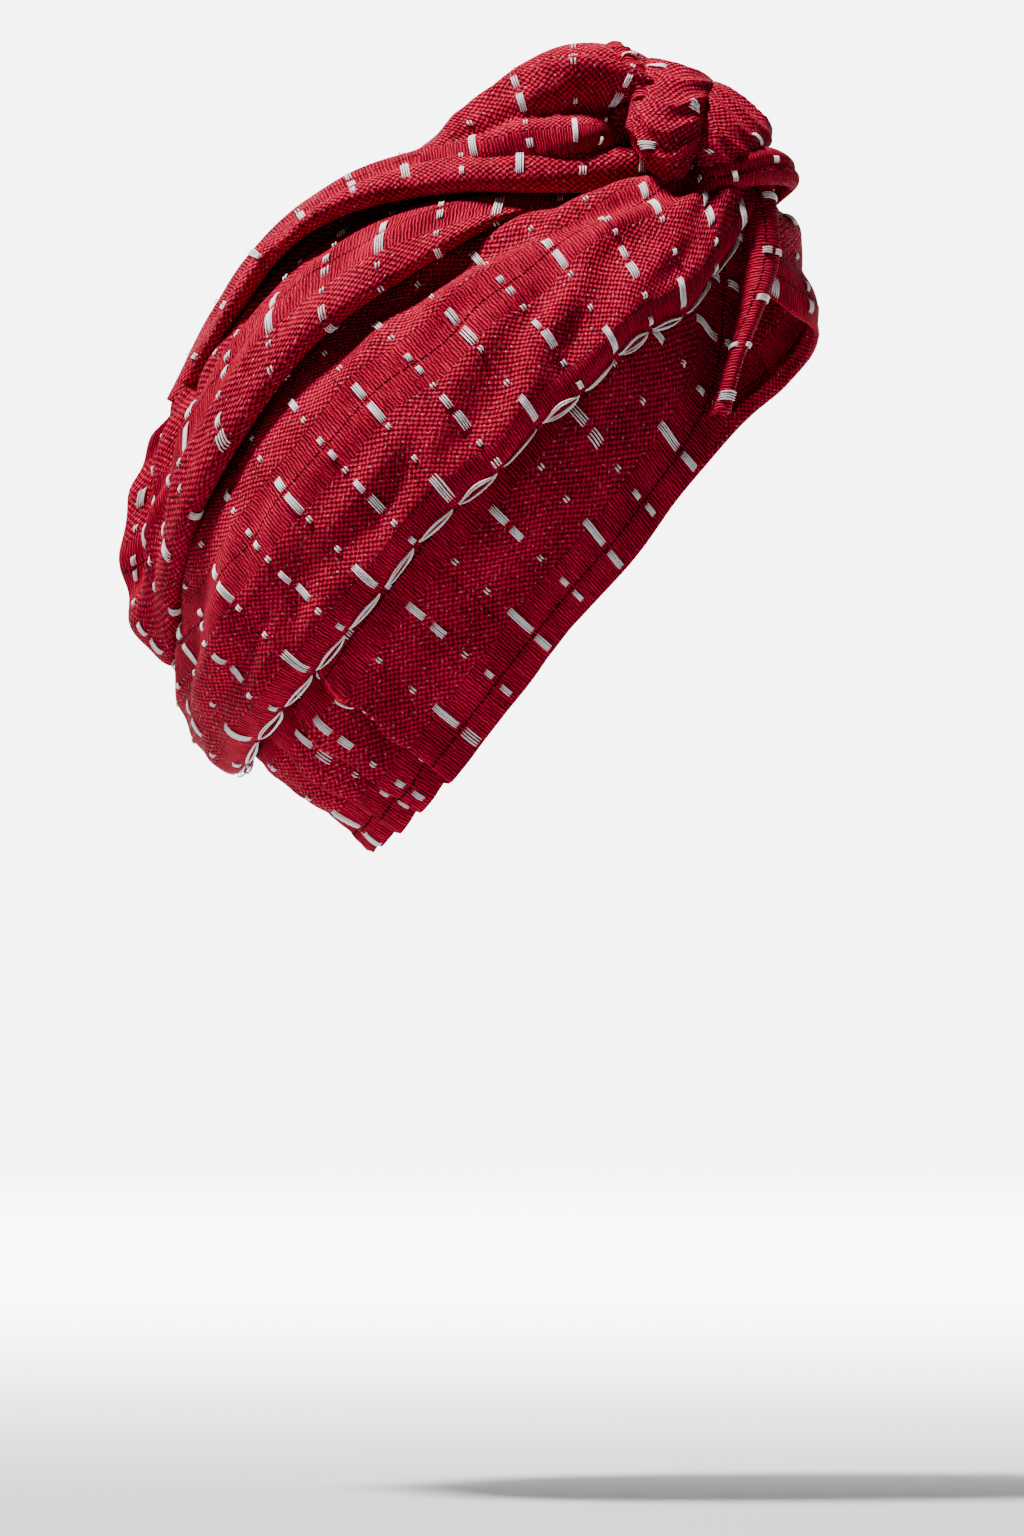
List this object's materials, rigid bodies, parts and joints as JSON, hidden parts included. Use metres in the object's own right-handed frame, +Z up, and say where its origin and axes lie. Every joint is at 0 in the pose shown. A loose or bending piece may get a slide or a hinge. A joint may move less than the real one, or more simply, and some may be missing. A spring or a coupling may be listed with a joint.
{
  "type": "turban headwrap",
  "caption": "Crimson woven turban headwrap in its worn form: layered side wraps, a knotted front, a band round the head and a pleated nape, open below for the head.",
  "frame": {"origin": "centre of the head opening that the wearer's head goes into", "axes": "+Z up, -Y towards the wearer's face, -X towards the wearer's right side; the head is tilted back about 20 degrees"},
  "size_m": [0.1754, 0.2492, 0.2882],
  "materials": {
    "crimson_cloth": "heavy textured cotton weave, matt, in ribbed and specked stripes",
    "white_yarn": "loose slightly glossy white yarn floats"
  },
  "bodies": {
    "root": {"side_band": "crimson_cloth", "front_roll": "crimson_cloth", "lower_wrap": "crimson_cloth", "middle_wrap": "crimson_cloth", "upper_wrap": "crimson_cloth", "knot_hump": "crimson_cloth", "knot_twist": "crimson_cloth", "knot_pouch": "crimson_cloth", "knot_lobe": "crimson_cloth", "knot_tip": "crimson_cloth"}
  },
  "joints": []
}
